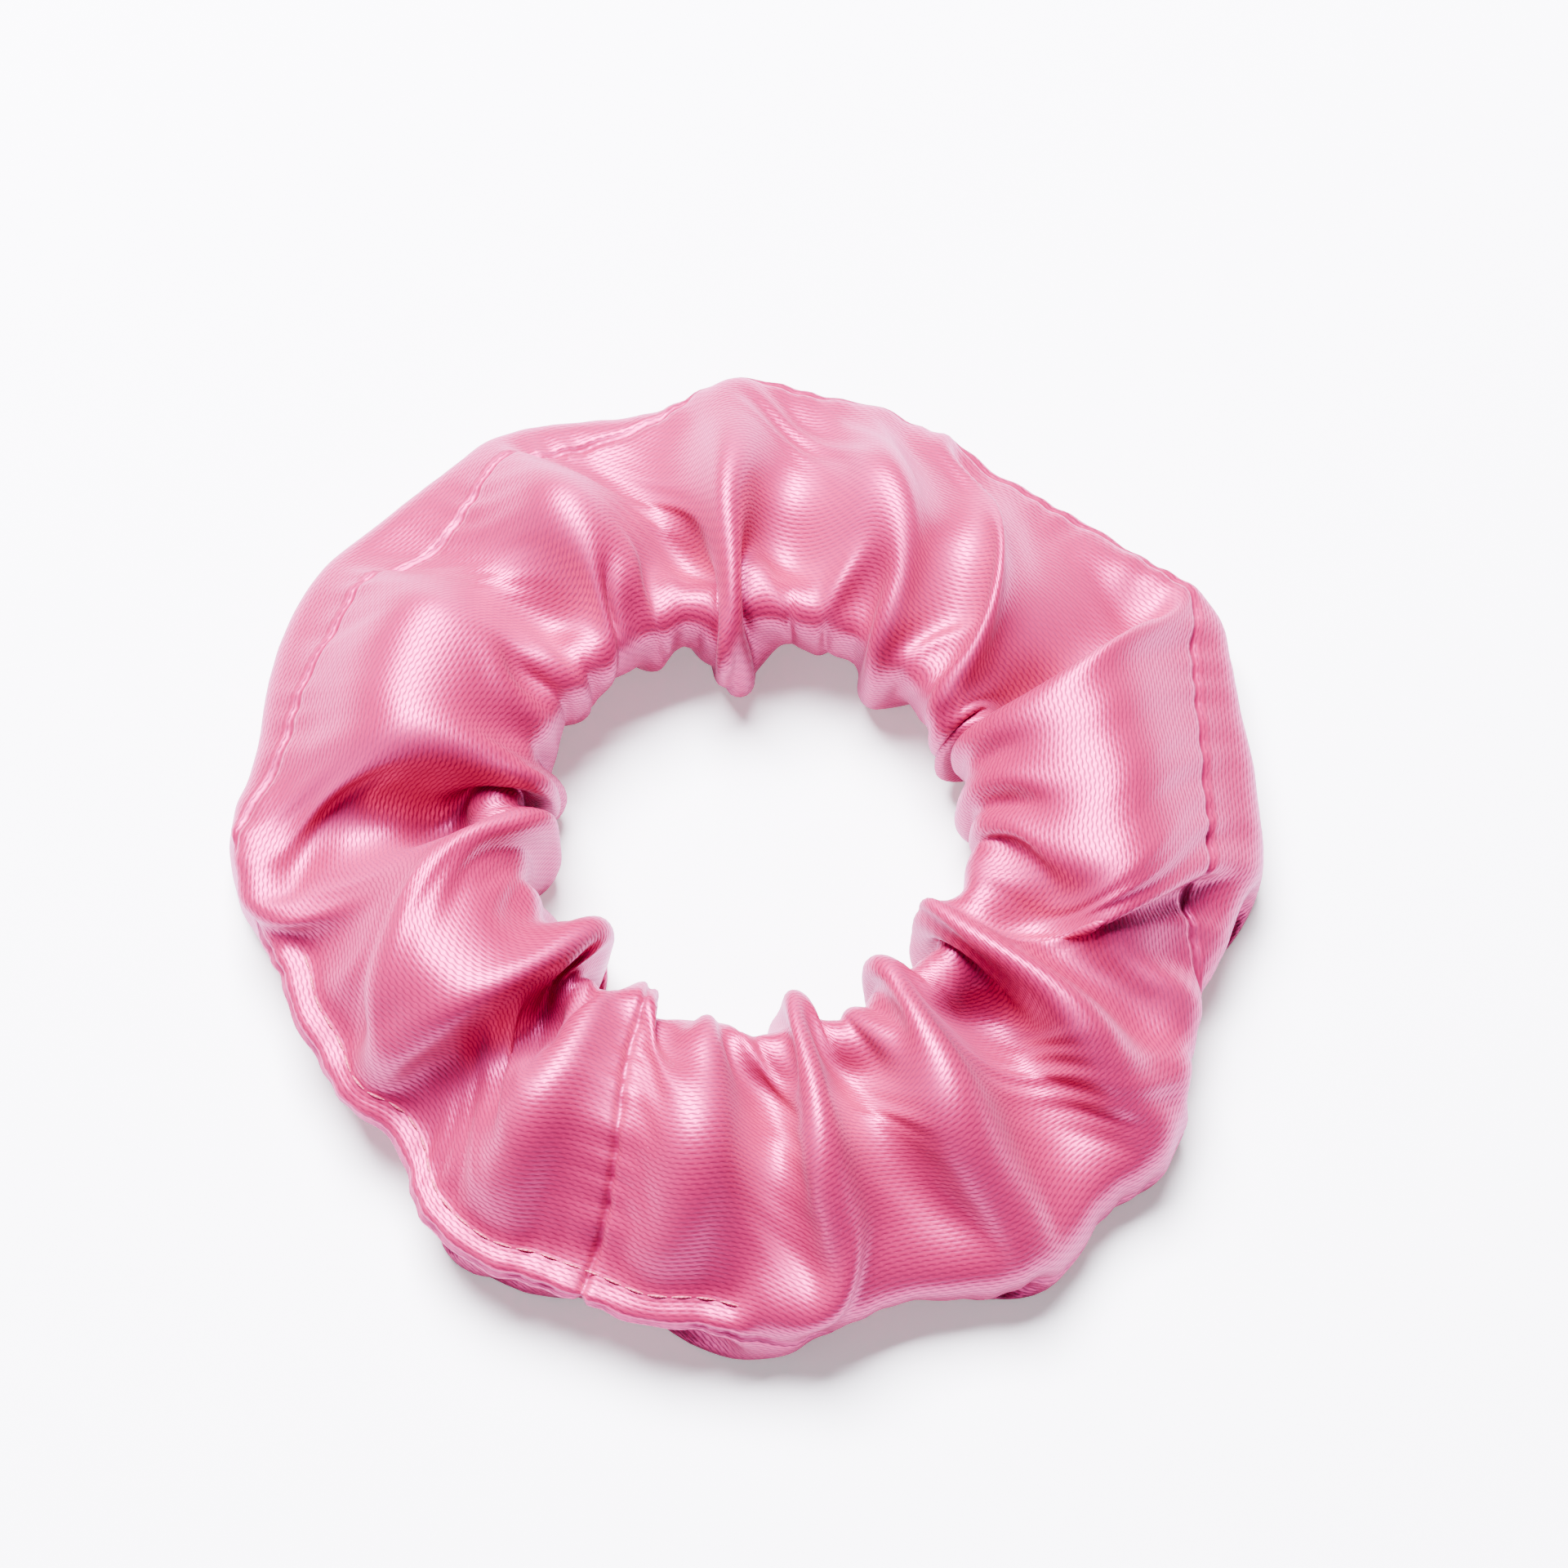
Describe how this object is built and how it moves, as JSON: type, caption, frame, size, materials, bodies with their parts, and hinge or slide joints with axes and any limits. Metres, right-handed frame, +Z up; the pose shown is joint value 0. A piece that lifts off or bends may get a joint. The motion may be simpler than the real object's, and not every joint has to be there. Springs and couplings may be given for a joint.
{
  "type": "scrunchie",
  "caption": "Ring-shaped hair tie: a gathered satin sleeve round a hidden elastic band, with a sewn seam along the outer edge and a closing seam across.",
  "frame": {"origin": "centre of the hole, on the surface that the ring lies on", "axes": "+Z up out of the ring; -Y towards the cross seam that joins the ends of the sleeve; the ring stretches open along X"},
  "size_m": [0.1116, 0.1096, 0.022],
  "materials": {
    "satin": "pink woven polyester satin, glossy side out",
    "satin_thread": "spun polyester sewing thread, a shade deeper than the satin",
    "woven_elastic": "flat woven elastic, off-white, matt"
  },
  "bodies": {
    "left_half": {"sleeve_left_half": "satin", "elastic_band": "woven_elastic", "elastic_tack_needle_thread": "satin_thread", "elastic_tack_bobbin_thread": "satin_thread", "long_seam_needle_thread": "satin_thread", "long_seam_bobbin_thread": "satin_thread", "cross_seam_needle_thread": "satin_thread", "cross_seam_bobbin_thread": "satin_thread", "closing_topstitch_needle_thread": "satin_thread", "closing_topstitch_bobbin_thread": "satin_thread"},
    "right_half": {"sleeve_right_half": "satin"}
  },
  "joints": [
    {"name": "stretch", "type": "slide", "parent": "left_half", "child": "right_half", "axis": [1, 0, 0], "range_m": [0, 0.06], "stiffness_N_per_m": 60, "deforming": ["elastic_band", "elastic_tack_needle_thread", "elastic_tack_bobbin_thread", "long_seam_needle_thread", "long_seam_bobbin_thread", "cross_seam_needle_thread", "cross_seam_bobbin_thread", "closing_topstitch_needle_thread", "closing_topstitch_bobbin_thread"]}
  ]
}
